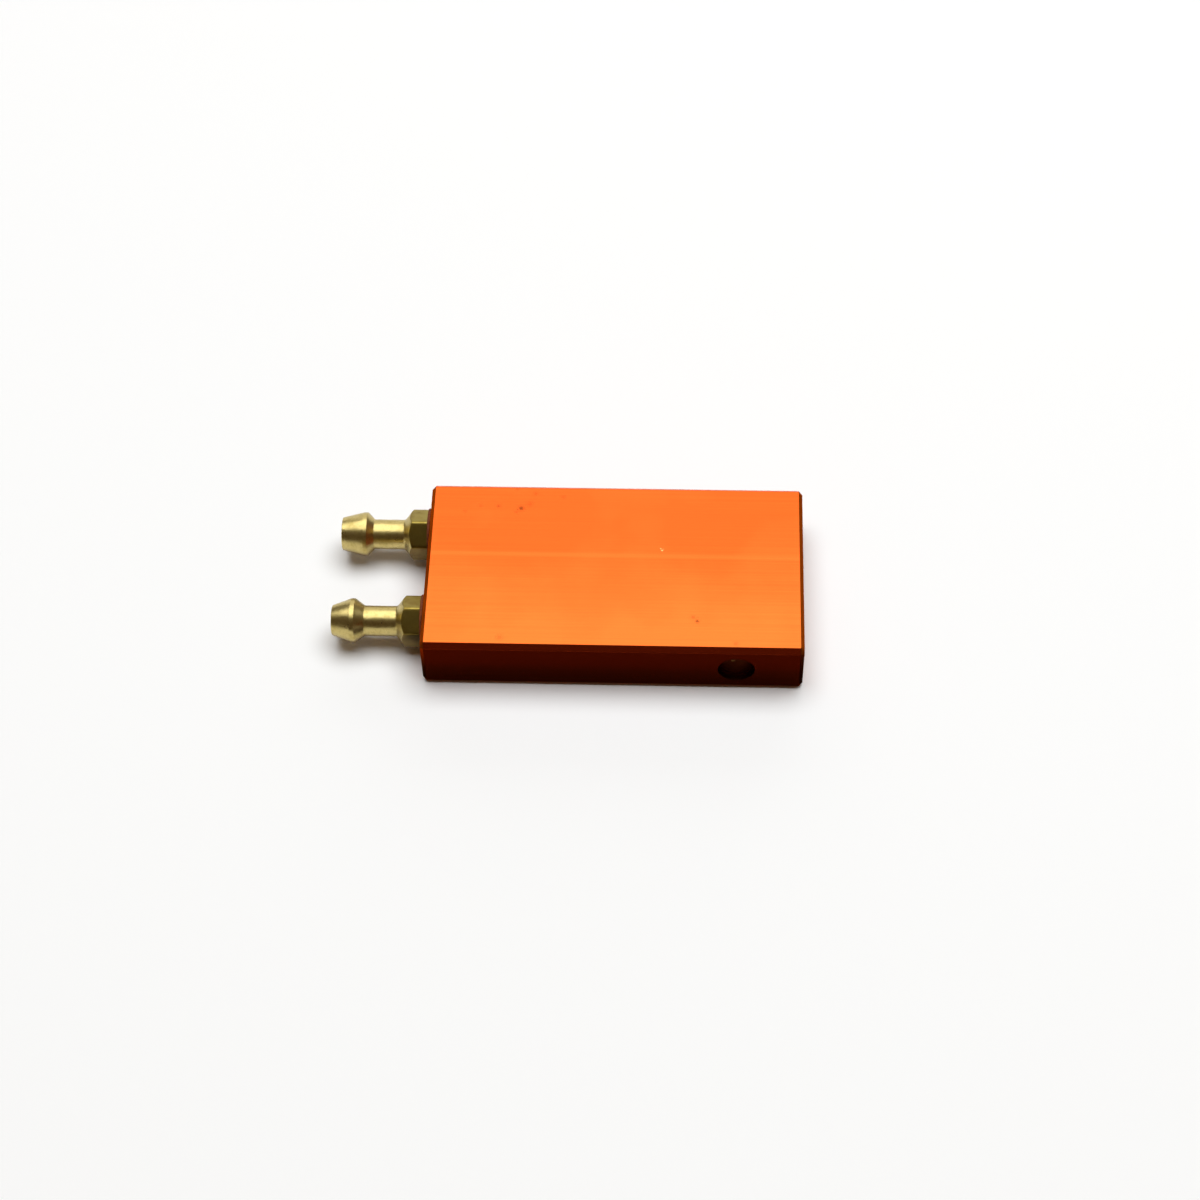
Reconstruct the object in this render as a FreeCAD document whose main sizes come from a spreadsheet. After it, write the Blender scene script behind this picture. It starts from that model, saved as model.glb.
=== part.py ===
import FreeCAD, Part
import os

import Sketcher
from FreeCAD import Placement, Rotation, Vector

# Liquid cooling cold plate for a small speed controller or chip.
#
# An anodised aluminium block has two long coolant channels drilled from its left end and one
# cross channel drilled from its front side, which joins them into a U. A pressed plug closes
# the mouth of the cross channel. Two turned brass hose nozzles screw into the tapped mouths of
# the long channels, each on a thin fibre washer.
#
# Millimetres. X runs along the block, away from the nozzles; Y points to the rear; Z is up.
# The origin is the centre of the block's bottom face, which beds on the part to be cooled.

SIZES = (
    # the block, a length of extruded flat bar
    ("block_length", 41.6, "between the two sawn ends"),
    ("block_width", 22.5, "front to rear"),
    ("block_height", 7.0, "bottom to top"),
    ("bar_edge_chamfer", 0.55, "chamfer along the four long edges of the bar"),
    ("end_chamfer", 0.4, "chamfer round both sawn ends"),
    # the coolant channels inside it
    ("channel_diameter", 3.3, "drill for the two long channels"),
    ("cross_channel_diameter", 3.0, "drill for the cross channel"),
    ("channel_level", 3.5, "channel axes above the bottom face"),
    ("port_spacing", 12.0, "between the axes of the two long channels"),
    ("port_offset", 0.5, "shift of the pair of ports towards the rear"),
    ("cross_channel_inset", 7.3, "axis of the cross channel to the right end"),
    ("drill_point_angle", 118.0, "included angle of the drill's point, degrees"),
    # the tapped mouths of the long channels
    ("thread_diameter", 4.0, "outer diameter of the nozzle's thread"),
    ("thread_clearance", 0.02, "radial clearance of a shank in its tapped mouth"),
    ("tapped_depth", 5.0, "depth of the tapped mouth"),
    ("mouth_chamfer", 0.25, "lead-in of each tapped mouth"),
    # the hose nozzles, turned from hexagon bar
    ("shank_length", 4.2, "threaded shank, from its inner end to the hexagon"),
    ("shank_chamfer", 0.35, "lead chamfer of the shank"),
    ("hexagon_across_flats", 5.0, "width over the spanner flats"),
    ("hexagon_length", 1.69, "length of the full hexagon"),
    ("shoulder_length", 0.97, "cone from the hexagon's corners down to the neck"),
    ("neck_diameter", 3.35, "neck between shoulder and barb"),
    ("neck_fillet", 0.3, "hollow where the neck meets the shoulder"),
    ("barb_diameter", 4.9, "largest diameter of the barb"),
    ("barb_crest_length", 0.45, "plain land on the crest"),
    ("tip_rounding", 0.12, "broken outer edge of the tip"),
    ("bore_diameter", 2.0, "coolant bore through the nozzle"),
    # what differs between the two nozzles, which are turned one by one
    ("front_neck_length", 3.6, "length of the front nozzle's neck"),
    ("front_barb_back_length", 1.05, "front cone from the neck up to the crest"),
    ("front_barb_nose_length", 2.1, "front cone from the crest to the tip"),
    ("front_tip_diameter", 3.3, "end of the front nozzle's nose"),
    ("front_hexagon_turn", -5.0, "where tightening left the front hexagon, degrees"),
    ("rear_neck_length", 3.45, "length of the rear nozzle's neck"),
    ("rear_barb_back_length", 0.75, "rear cone from the neck up to the crest"),
    ("rear_barb_nose_length", 2.4, "rear cone from the crest to the tip"),
    ("rear_tip_diameter", 3.7, "end of the rear nozzle's nose"),
    ("rear_hexagon_turn", -8.2, "where tightening left the rear hexagon, degrees"),
    # the fibre washers
    ("washer_diameter", 6.0, "outer diameter"),
    ("washer_bore", 4.2, "inner diameter"),
    ("washer_thickness", 0.34, "thickness when tightened"),
    # the pressed plug
    ("plug_diameter", 4.0, "diameter of the plug and its seat"),
    ("plug_clearance", 0.01, "radial gap left for the sealing film"),
    ("plug_length", 2.6, "inner end to crown"),
    ("plug_recess", 0.35, "crown below the front face"),
    ("plug_crown_radius", 3.6, "radius of the domed outer end"),
    ("plug_lead_chamfer", 0.25, "chamfer on the end that is pressed in first"),
)

# Expressions that several pieces share.
HALF_LENGTH = "Sizes.block_length / 2"
HALF_WIDTH = "Sizes.block_width / 2"
CROSS_X = f"({HALF_LENGTH} - Sizes.cross_channel_inset)"
PORT_Y = {
    "front": "(Sizes.port_offset - Sizes.port_spacing / 2)",
    "rear": "(Sizes.port_offset + Sizes.port_spacing / 2)",
}

# The turning profiles run past the bar's corners by this share of the corners' radius.
TOOL_OVERRUN = 0.2

# Lengths that differ by less than this are the same for the modeller.
SAME_LENGTH = 1e-4

document = FreeCAD.newDocument("LiquidColdPlate")


def make_sheet():
    """The spreadsheet of driving sizes, one named cell to a row."""
    rows = document.addObject("Spreadsheet::Sheet", "Sizes")
    for row, (name, value, meaning) in enumerate(SIZES, start=1):
        rows.set(f"A{row}", name)
        rows.set(f"B{row}", str(value))
        rows.set(f"C{row}", meaning)
        rows.setAlias(f"B{row}", name)
    document.recompute()
    return rows


sheet = make_sheet()


def number(expression):
    """The present value of an expression on the sheet."""
    return float(sheet.evalExpression(expression))


# ---- sketches ----


def new_sketch(body, name, plane, offset=None):
    """A sketch on one of the body's own origin planes, moved along the plane's normal."""
    sketch = body.newObject("Sketcher::SketchObject", name)
    origin_plane = next(f for f in body.Origin.OriginFeatures if f.Role == plane)
    sketch.AttachmentSupport = (origin_plane, [""])
    sketch.MapMode = "FlatFace"
    if offset:
        sketch.setExpression("AttachmentOffset.Base.z", offset)
    return sketch


def bind(sketch, kind, where, expression):
    """Adds a dimension to the sketch and ties it to the sheet."""
    index = sketch.addConstraint(Sketcher.Constraint(kind, *where, number(expression)))
    name = f"size_{index}"
    sketch.renameConstraint(index, name)
    sketch.setExpression(f"Constraints.{name}", expression)


def place_point(sketch, geometry, point, x, y):
    """Ties one point to its two coordinates; a coordinate of None lies on the sketch's axis."""
    for kind, coordinate, axis in (("DistanceX", x, -2), ("DistanceY", y, -1)):
        if coordinate is None:
            sketch.addConstraint(Sketcher.Constraint("PointOnObject", geometry, point, axis))
        else:
            bind(sketch, kind, (-1, 1, geometry, point), coordinate)


def draw_polygon(sketch, corners):
    """A closed outline of straight lines through corners given as pairs of expressions."""
    points = [Vector(number(x or "0"), number(y or "0"), 0) for x, y in corners]
    for index, point in enumerate(points):
        following = points[(index + 1) % len(points)]
        sketch.addGeometry(Part.LineSegment(point, following), False)
    for index in range(len(points)):
        joint = (index, 2, (index + 1) % len(points), 1)
        sketch.addConstraint(Sketcher.Constraint("Coincident", *joint))
    for index, (x, y) in enumerate(corners):
        place_point(sketch, index, 1, x, y)


def draw_circle(sketch, x, y, diameter):
    """A circle round a centre given as a pair of expressions."""
    centre = Vector(number(x or "0"), number(y or "0"), 0)
    circle = Part.Circle(centre, Vector(0, 0, 1), number(diameter) / 2)
    index = sketch.addGeometry(circle, False)
    place_point(sketch, index, 3, x, y)
    bind(sketch, "Diameter", (index,), diameter)


def draw_hexagon(sketch, across_flats):
    """A hexagon round the sketch's origin, with one corner on its X axis."""
    corner = number(f"{across_flats} / sqrt(3)")
    points = [Rotation(Vector(0, 0, 1), 60 * k).multVec(Vector(corner, 0, 0)) for k in range(6)]
    for k in range(6):
        sketch.addGeometry(Part.LineSegment(points[k], points[(k + 1) % 6]), False)
    ring = sketch.addGeometry(Part.Circle(Vector(), Vector(0, 0, 1), corner), True)
    for k in range(6):
        sketch.addConstraint(Sketcher.Constraint("Coincident", k, 2, (k + 1) % 6, 1))
        sketch.addConstraint(Sketcher.Constraint("PointOnObject", k, 1, ring))
        if k:
            sketch.addConstraint(Sketcher.Constraint("Equal", 0, k))
    sketch.addConstraint(Sketcher.Constraint("Coincident", ring, 3, -1, 1))
    sketch.addConstraint(Sketcher.Constraint("PointOnObject", 0, 1, -1))
    bind(sketch, "Radius", (ring,), f"{across_flats} / sqrt(3)")


# ---- features ----


def new_body(label):
    """A body whose label names its file."""
    body = document.addObject("PartDesign::Body", label)
    body.Label = label
    return body


def add_feature(body, kind, name, profile, **settings):
    """A sketched feature, with its settings."""
    feature = body.newObject(f"PartDesign::{kind}", name)
    feature.Profile = profile
    for setting, value in settings.items():
        setattr(feature, setting, value)
    return feature


def add_pad(body, name, profile, length):
    """The profile drawn out along its normal."""
    pad = add_feature(body, "Pad", name, profile)
    pad.setExpression("Length", length)
    document.recompute()
    return pad


def turn_away(body, name, profile):
    """A groove turned all round the sketch's vertical axis."""
    groove = add_feature(body, "Groove", name, profile, Angle=360)
    groove.ReferenceAxis = (profile, ["V_Axis"])
    document.recompute()
    return groove


def drill(body, name, profile, depth, diameter, seat_diameter, seat_depth, into_normal):
    """Drilled holes with a wider seat at their mouths, one for each circle of the profile."""
    document.recompute()
    hole = add_feature(body, "Hole", name, profile, DepthType="Dimension", Reversed=into_normal)
    hole.HoleCutType = "Counterbore"
    hole.HoleCutCustomValues = True
    hole.DrillPoint = "Angled"
    hole.setExpression("DrillPointAngle", "Sizes.drill_point_angle")
    hole.setExpression("Diameter", diameter)
    hole.setExpression("Depth", depth)
    hole.setExpression("HoleCutDiameter", seat_diameter)
    hole.setExpression("HoleCutDepth", seat_depth)
    document.recompute()
    return hole


def edges_of(feature, wanted):
    """The names of the feature's edges for which wanted(edge) is true."""
    names = [f"Edge{k}" for k, edge in enumerate(feature.Shape.Edges, 1) if wanted(edge)]
    if not names:
        raise RuntimeError(f"{feature.Label} has no edge to finish")
    return names


def finish_edges(body, kind, name, base, wanted, size):
    """A Fillet or Chamfer on chosen edges of the feature before it."""
    feature = body.newObject(f"PartDesign::{kind}", name)
    feature.Base = (base, edges_of(base, wanted))
    feature.setExpression("Radius" if kind == "Fillet" else "Size", size)
    document.recompute()
    return feature


def near(value, target):
    """True where two lengths are the same for the modeller."""
    return abs(value - target) < SAME_LENGTH


def in_plane(edge, axis, position):
    """True for an edge that lies in the plane where the coordinate on axis is position."""
    box = edge.BoundBox
    return near(getattr(box, f"{axis}Min"), position) and near(getattr(box, f"{axis}Max"), position)


def is_ring(edge, radius, level):
    """True for a full circle of this radius, square to Z at this level."""
    round_edge = isinstance(edge.Curve, Part.Circle) and edge.isClosed()
    return round_edge and near(edge.Curve.Radius, radius) and in_plane(edge, "Z", level)


# ---- the pieces ----


def make_block():
    """The drilled aluminium block."""
    body = new_body("cooling_block")
    section = new_sketch(body, "bar_outline", "XY_Plane")
    left, right = f"-{HALF_LENGTH}", HALF_LENGTH
    front, rear = f"-{HALF_WIDTH}", HALF_WIDTH
    draw_polygon(section, ((left, front), (right, front), (right, rear), (left, rear)))
    bar = add_pad(body, "bar", section, "Sizes.block_height")

    def runs_along_bar(edge):
        return near(edge.BoundBox.XLength, number("Sizes.block_length"))

    edged = finish_edges(body, "Chamfer", "bar_edges", bar, runs_along_bar, "Sizes.bar_edge_chamfer")

    def bounds_an_end(edge):
        half_length = number(HALF_LENGTH)
        return in_plane(edge, "X", -half_length) or in_plane(edge, "X", half_length)

    finish_edges(body, "Chamfer", "end_chamfers", edged, bounds_an_end, "Sizes.end_chamfer")

    ports = new_sketch(body, "port_centres", "YZ_Plane", left)
    for port_y in PORT_Y.values():
        draw_circle(ports, port_y, "Sizes.channel_level", "Sizes.channel_diameter")
    tapped = "Sizes.thread_diameter + 2 * Sizes.thread_clearance"
    channels = drill(
        body,
        "long_channels",
        ports,
        depth=f"{HALF_LENGTH} + {CROSS_X} + Sizes.channel_diameter / 2",
        diameter="Sizes.channel_diameter",
        seat_diameter=tapped,
        seat_depth="Sizes.tapped_depth",
        into_normal=True,
    )

    def opens_at_left_end(edge):
        round_edge = isinstance(edge.Curve, Part.Circle)
        at_end = in_plane(edge, "X", -number(HALF_LENGTH))
        return round_edge and at_end and near(edge.Curve.Radius, number(tapped) / 2)

    finish_edges(body, "Chamfer", "mouths", channels, opens_at_left_end, "Sizes.mouth_chamfer")

    cross = new_sketch(body, "cross_centre", "XZ_Plane", HALF_WIDTH)
    draw_circle(cross, CROSS_X, "Sizes.channel_level", "Sizes.cross_channel_diameter")
    drill(
        body,
        "cross_channel",
        cross,
        depth=f"{HALF_WIDTH} + {PORT_Y['rear']}",
        diameter="Sizes.cross_channel_diameter",
        seat_diameter="Sizes.plug_diameter",
        seat_depth="Sizes.plug_recess + Sizes.plug_length",
        into_normal=False,
    )
    return body


def make_nozzle(side):
    """One hose nozzle, turned from hexagon bar; it stands on the inner end of its shank."""
    body = new_body(f"{side}_nozzle")
    seat = "Sizes.shank_length"
    hexagon_end = f"({seat} + Sizes.hexagon_length)"
    shoulder_end = f"({hexagon_end} + Sizes.shoulder_length)"
    neck_end = f"({shoulder_end} + Sizes.{side}_neck_length)"
    crest_start = f"({neck_end} + Sizes.{side}_barb_back_length)"
    crest_end = f"({crest_start} + Sizes.barb_crest_length)"
    tip = f"({crest_end} + Sizes.{side}_barb_nose_length)"
    corner = "(Sizes.hexagon_across_flats / sqrt(3))"
    thread, neck = "Sizes.thread_diameter / 2", "Sizes.neck_diameter / 2"
    barb, nose = "Sizes.barb_diameter / 2", f"Sizes.{side}_tip_diameter / 2"

    section = new_sketch(body, f"{side}_hexagon", "XY_Plane")
    section.setExpression("AttachmentOffset.Rotation.Angle", f"Sizes.{side}_hexagon_turn")
    draw_hexagon(section, "Sizes.hexagon_across_flats")
    add_pad(body, f"{side}_bar", section, tip)

    # outside the bar's corners the shoulder's cone is carried on to where the tool starts
    outside = f"({corner} * {1 + TOOL_OVERRUN})"
    shoulder_slope = f"(Sizes.shoulder_length / ({corner} - {neck}))"
    cone_start = f"({hexagon_end} - {TOOL_OVERRUN} * {corner} * {shoulder_slope})"
    shank_profile = new_sketch(body, f"{side}_shank_profile", "XZ_Plane")
    draw_polygon(
        shank_profile,
        (
            (outside, None),
            (f"{thread} - Sizes.shank_chamfer", None),
            (thread, "Sizes.shank_chamfer"),
            (thread, seat),
            (outside, seat),
        ),
    )
    turn_away(body, f"{side}_shank", shank_profile)

    barb_profile = new_sketch(body, f"{side}_barb_profile", "XZ_Plane")
    draw_polygon(
        barb_profile,
        (
            (outside, cone_start),
            (neck, shoulder_end),
            (neck, neck_end),
            (barb, crest_start),
            (barb, crest_end),
            (nose, tip),
            (outside, tip),
        ),
    )
    turned = turn_away(body, f"{side}_barb", barb_profile)

    def foot_of_neck(edge):
        return is_ring(edge, number(neck), number(shoulder_end))

    hollow = finish_edges(body, "Fillet", f"{side}_hollow", turned, foot_of_neck, "Sizes.neck_fillet")

    def rim_of_tip(edge):
        return is_ring(edge, number(nose), number(tip))

    finish_edges(body, "Fillet", f"{side}_tip_edge", hollow, rim_of_tip, "Sizes.tip_rounding")

    bore = new_sketch(body, f"{side}_bore_centre", "XY_Plane")
    draw_circle(bore, None, None, "Sizes.bore_diameter")
    add_feature(body, "Pocket", f"{side}_bore", bore, Type="ThroughAll", Reversed=True)

    # the body's +Z points out of the block, along -X
    body.Placement = Placement(Vector(), Rotation(Vector(0, 1, 0), -90))
    seat_x = f"-{HALF_LENGTH} - Sizes.washer_thickness"
    body.setExpression("Placement.Base.x", f"{seat_x} + Sizes.shank_length")
    body.setExpression("Placement.Base.y", PORT_Y[side])
    body.setExpression("Placement.Base.z", "Sizes.channel_level")
    return body


def make_washer(side):
    """The fibre washer between a nozzle's hexagon and the block."""
    body = new_body(f"{side}_nozzle_washer")
    ring = new_sketch(body, f"{side}_ring", "XY_Plane")
    draw_circle(ring, None, None, "Sizes.washer_diameter")
    draw_circle(ring, None, None, "Sizes.washer_bore")
    add_pad(body, f"{side}_washer", ring, "Sizes.washer_thickness")
    body.Placement = Placement(Vector(), Rotation(Vector(0, 1, 0), -90))
    body.setExpression("Placement.Base.x", f"-{HALF_LENGTH}")
    body.setExpression("Placement.Base.y", PORT_Y[side])
    body.setExpression("Placement.Base.z", "Sizes.channel_level")
    return body


def make_plug():
    """The pressed plug that closes the cross channel, with a domed outer end."""
    body = new_body("channel_plug")
    profile = new_sketch(body, "plug_profile", "XZ_Plane")
    side = "Sizes.plug_diameter / 2 - Sizes.plug_clearance"
    chamfer, top = "Sizes.plug_lead_chamfer", "Sizes.plug_length"
    crown = "Sizes.plug_crown_radius"
    shoulder = f"{top} - {crown} + sqrt({crown} ^ 2 - ({side}) ^ 2)"
    corners = ((None, None), (f"{side} - {chamfer}", None), (side, chamfer), (side, shoulder))
    points = [Vector(number(x or "0"), number(y or "0"), 0) for x, y in corners]
    apex = Vector(0, number(top), 0)
    centre = Vector(0, number(f"{top} - {crown}"), 0)
    for start, end in zip(points, points[1:]):
        profile.addGeometry(Part.LineSegment(start, end), False)
    middle = centre + (points[3] + apex - centre * 2).normalize() * number(crown)
    dome = profile.addGeometry(Part.Arc(points[3], middle, apex), False)
    axis = profile.addGeometry(Part.LineSegment(apex, points[0]), False)
    for index, (x, y) in enumerate(corners[:3]):
        place_point(profile, index, 1, x, y)
    for start, end in ((0, 1), (1, 2)):
        profile.addConstraint(Sketcher.Constraint("Coincident", start, 2, end, 1))
    # the arc runs counter-clockwise, so it starts on the side wall and ends at the apex
    profile.addConstraint(Sketcher.Constraint("Coincident", 2, 2, dome, 1))
    profile.addConstraint(Sketcher.Constraint("Coincident", dome, 2, axis, 1))
    profile.addConstraint(Sketcher.Constraint("Coincident", axis, 2, 0, 1))
    profile.addConstraint(Sketcher.Constraint("Vertical", 2))
    profile.addConstraint(Sketcher.Constraint("PointOnObject", dome, 3, -2))
    place_point(profile, axis, 1, None, top)
    bind(profile, "Radius", (dome,), crown)
    plug = add_feature(body, "Revolution", "plug", profile, Angle=360)
    plug.ReferenceAxis = (profile, ["V_Axis"])

    # the body's +Z points out of the block's front side, along -Y
    body.Placement = Placement(Vector(), Rotation(Vector(1, 0, 0), 90))
    body.setExpression("Placement.Base.x", CROSS_X)
    inner_end = f"-{HALF_WIDTH} + Sizes.plug_recess + Sizes.plug_length"
    body.setExpression("Placement.Base.y", inner_end)
    body.setExpression("Placement.Base.z", "Sizes.channel_level")
    return body


def check_document():
    """Stops the build on any failed object."""
    for item in document.Objects:
        if {"Invalid", "Error"} & set(item.State):
            raise RuntimeError(f"{item.Label} failed: {item.State}")


def export(bodies):
    """Writes one STEP file for each body, named by its label."""
    os.makedirs("parts", exist_ok=True)
    for body in bodies:
        shape = body.Shape
        if shape.isNull() or not shape.isValid() or len(shape.Solids) != 1:
            raise RuntimeError(f"{body.Label} is not one valid solid")
    for body in bodies:
        body.Shape.exportStep(f"parts/{body.Label}.step")
        print(f"{body.Label}: {body.Shape.Volume:.3f} mm3")


pieces = [make_block()]
for nozzle_side in PORT_Y:
    pieces.append(make_nozzle(nozzle_side))
    pieces.append(make_washer(nozzle_side))
pieces.append(make_plug())
document.recompute()
check_document()
export(pieces)
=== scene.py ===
"""Visible pieces of a small liquid cooling cold plate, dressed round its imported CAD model.

The block is orange anodised aluminium bar. Two turned brass hose nozzles screw into its left
end on fibre washers, and a pressed plug closes the cross channel on its front side.
Metres throughout, in the CAD model's own frame: X along the block, Y to the rear, Z up.
"""

import math

import bpy
from bpy.props import FloatProperty, FloatVectorProperty, IntProperty, PointerProperty
from mathutils import Matrix, Vector


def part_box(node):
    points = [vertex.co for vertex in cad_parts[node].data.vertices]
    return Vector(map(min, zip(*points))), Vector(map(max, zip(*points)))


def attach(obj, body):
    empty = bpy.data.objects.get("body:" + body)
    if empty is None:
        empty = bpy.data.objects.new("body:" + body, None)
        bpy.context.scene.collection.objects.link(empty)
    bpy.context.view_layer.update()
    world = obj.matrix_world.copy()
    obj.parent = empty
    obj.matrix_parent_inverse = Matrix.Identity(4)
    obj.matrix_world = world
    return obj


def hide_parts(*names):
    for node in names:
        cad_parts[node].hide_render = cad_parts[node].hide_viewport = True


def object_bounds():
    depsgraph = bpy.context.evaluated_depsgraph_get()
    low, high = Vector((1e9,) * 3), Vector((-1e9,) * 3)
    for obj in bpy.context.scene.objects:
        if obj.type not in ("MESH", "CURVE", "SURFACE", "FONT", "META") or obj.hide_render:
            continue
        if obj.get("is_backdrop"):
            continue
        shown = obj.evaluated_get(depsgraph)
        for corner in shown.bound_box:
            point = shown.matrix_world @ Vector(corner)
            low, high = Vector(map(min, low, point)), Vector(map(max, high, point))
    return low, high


bl_info = {
    "name": "Liquid Cooling Cold Plate",
    "version": (1, 0, 0),
    "blender": (4, 5, 0),
    "location": "3D View > Sidebar > Cold Plate",
    "description": "Builds the visible pieces of a small cold plate and the stage it lies on",
    "category": "Object",
}

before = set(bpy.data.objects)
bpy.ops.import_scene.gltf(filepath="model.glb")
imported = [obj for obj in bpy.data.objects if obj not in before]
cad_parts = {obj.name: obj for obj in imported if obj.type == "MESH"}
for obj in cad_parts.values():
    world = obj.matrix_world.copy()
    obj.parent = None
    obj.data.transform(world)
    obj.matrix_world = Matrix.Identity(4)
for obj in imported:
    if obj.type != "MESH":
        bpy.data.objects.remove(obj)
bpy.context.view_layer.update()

MM = 0.001

# The block's top face, in millimetres.
BLOCK_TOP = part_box("cooling_block")[1].z / MM

# Arcs are drawn with no more than this turn to a segment.
ARC_STEP = math.radians(10.0)

# Edges that turn more than this stay crisp.
CRISP_ANGLE = math.radians(35.0)

# Points round a turned form that has no flats, and round a drilled hole and its plug.
ROUND_POINTS = 96
DRILLED_POINTS = 72

# A cutting form starts this far outside the face that it cuts.
OVERCUT = 0.6 * MM

SIDES = ("front", "rear")

# Small radii and the bore's chamfer that the lathe leaves on a nozzle, from neck to tip.
NECK_END_RADIUS = 0.08 * MM
CREST_START_RADIUS = 0.12 * MM
CREST_END_RADIUS = 0.16 * MM
TIP_RADIUS = 0.12 * MM
BORE_CHAMFER = 0.1 * MM
BORE_RIM_RADIUS = 0.03 * MM
BORE_START_RADIUS = 0.05 * MM

# The thread runs out into a groove under the hexagon, which ends in a short cone.
GROOVE_LENGTH = 0.45 * MM
GROOVE_CONE = 0.15 * MM

# The fibre washer's wider hole, its small radii, and how far its rim bulges when pressed.
WASHER_CLEARANCE = 0.1 * MM
WASHER_HOLE_RADIUS = 0.03 * MM
WASHER_RIM_RADIUS = 0.08 * MM
WASHER_BULGE_RADIUS = 0.2 * MM
WASHER_BULGE = 0.04 * MM

# The plug's lead-in chamfer.
PLUG_CHAMFER = 0.25 * MM

# The dark cards of the stage: thickness, gap to the block, and lap round its front corners.
CARD_THICKNESS = 0.02 * MM
CARD_GAP = 0.2 * MM
CARD_LAP = 1.5 * MM

# Dye filters the glancing reflection too.
DYED_EDGE = (1.0, 0.45, 0.3)

# Small marks on the block's top, in millimetres: x, y, radius, and how dark from 0 to 1.
MARKS = (
    (-10.64, 7.78, 0.45, 0.6),
    (-9.1, 9.9, 0.35, 0.24),
    (-13.2, 8.05, 0.35, 0.32),
    (-15.2, 8.05, 0.3, 0.2),
    (-11.2, 7.25, 0.3, 0.22),
    (-9.67, 8.4, 0.6, 0.2),
    (-11.2, 10.5, 0.35, 0.22),
    (-6.0, 9.45, 0.4, 0.18),
    (-16.9, 7.25, 0.3, 0.18),
    (-12.17, -9.91, 0.6, 0.2),
    (9.18, -7.36, 0.34, 0.6),
    (8.74, -6.84, 0.35, 0.28),
    (13.4, -10.25, 0.45, 0.22),
)
# Chips down to bare metal, in millimetres: x, y and radius on the top, and one on the plug.
CHIPS = ((5.22, 2.2, 0.16), (5.05, 2.45, 0.09))
# The plug's chip sits where a glint shows at its rim: bare metal, and partly a painted glint.
PLUG_CHIP_AND_GLINT = ((13.07, -10.72, 4.45), 0.2)
# Where the paler die line runs along the top, in millimetres.
DIE_LINE_Y = 1.4


# ---- colours and nodes ----


def linear(hex_colour):
    """Linear red, green and blue of an sRGB colour given as six hex digits."""
    channels = [int(hex_colour[k : k + 2], 16) / 255 for k in (0, 2, 4)]
    return tuple(c / 12.92 if c <= 0.04045 else ((c + 0.055) / 1.055) ** 2.4 for c in channels)


def add_node(tree, kind, inputs=(), **settings):
    """Adds a node with its settings; inputs gives each socket a value or another node's output."""
    node = tree.nodes.new(kind)
    for name, value in settings.items():
        setattr(node, name, value)
    for socket, value in dict(inputs).items():
        if isinstance(value, bpy.types.NodeSocket):
            tree.links.new(value, node.inputs[socket])
        elif node.inputs[socket].type == "RGBA":
            node.inputs[socket].default_value = (*tuple(value)[:3], 1.0)
        else:
            node.inputs[socket].default_value = value
    return node


def new_material(name):
    """A material with an empty node tree, and the tree."""
    material = bpy.data.materials.new(name)
    material.use_nodes = True
    material.node_tree.nodes.clear()
    return material, material.node_tree


def place_in_mm(tree, scale=(1.0, 1.0, 1.0)):
    """The object's own coordinates in millimetres, each axis times its scale."""
    place = add_node(tree, "ShaderNodeTexCoord")
    millimetres = tuple(factor / MM for factor in scale)
    return add_node(
        tree, "ShaderNodeMapping", {"Vector": place.outputs["Object"], "Scale": millimetres}
    ).outputs["Vector"]


def coordinate(tree, axis):
    """The object's own X, Y or Z in millimetres."""
    apart = add_node(tree, "ShaderNodeSeparateXYZ", {"Vector": place_in_mm(tree)})
    return apart.outputs[axis]


def noise(tree, vector, scale, detail=2.0, roughness=0.5):
    """Fractal noise from 0 to 1."""
    values = {"Vector": vector, "Scale": scale, "Detail": detail, "Roughness": roughness}
    return add_node(tree, "ShaderNodeTexNoise", values).outputs["Fac"]


def ramp(tree, value, low, high, to_low=0.0, to_high=1.0):
    """Maps low..high of a value smoothly to to_low..to_high, and holds it outside."""
    values = {
        "Value": value,
        "From Min": low,
        "From Max": high,
        "To Min": to_low,
        "To Max": to_high,
    }
    node = add_node(tree, "ShaderNodeMapRange", values, interpolation_type="SMOOTHSTEP")
    return node.outputs["Result"]


def mix_colours(tree, factor, first, second, blend="MIX"):
    """Mixes two colours, each a colour or a socket, by a factor."""
    node = add_node(tree, "ShaderNodeMix", data_type="RGBA", blend_type=blend)
    for index, value in ((0, factor), (6, first), (7, second)):
        socket = node.inputs[index]
        if isinstance(value, bpy.types.NodeSocket):
            tree.links.new(value, socket)
        elif index == 0:
            socket.default_value = value
        else:
            socket.default_value = (*value, 1.0)
    return node.outputs[2]


def calculate(tree, operation, first, second=0.0):
    """One step of arithmetic on values or sockets."""
    node = add_node(tree, "ShaderNodeMath", {0: first, 1: second}, operation=operation)
    return node.outputs["Value"]


def end_material(tree, shader):
    """Makes this shader the material's surface."""
    output = add_node(tree, "ShaderNodeOutputMaterial")
    tree.links.new(shader.outputs["BSDF"], output.inputs["Surface"])


# ---- outlines and meshes ----


def round_corners(corners, closed=False):
    """Points along an outline of (x, y, radius) corners, with an arc of that radius at each."""
    points = []
    for index, (x, y, radius) in enumerate(corners):
        here = Vector((x, y))
        is_end = not closed and index in (0, len(corners) - 1)
        if radius == 0 or is_end:
            points.append(here)
            continue
        back = (Vector(corners[index - 1][:2]) - here).normalized()
        ahead = (Vector(corners[(index + 1) % len(corners)][:2]) - here).normalized()
        half = back.angle(ahead) / 2
        centre = here + (back + ahead).normalized() * (radius / math.sin(half))
        start = here + back * (radius / math.tan(half)) - centre
        end = here + ahead * (radius / math.tan(half)) - centre
        turn = math.copysign(math.pi - 2 * half, start.x * end.y - start.y * end.x)
        steps = max(2, math.ceil(abs(turn) / ARC_STEP))
        for step in range(steps + 1):
            points.append(centre + Matrix.Rotation(turn * step / steps, 2) @ start)
    return points


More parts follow.
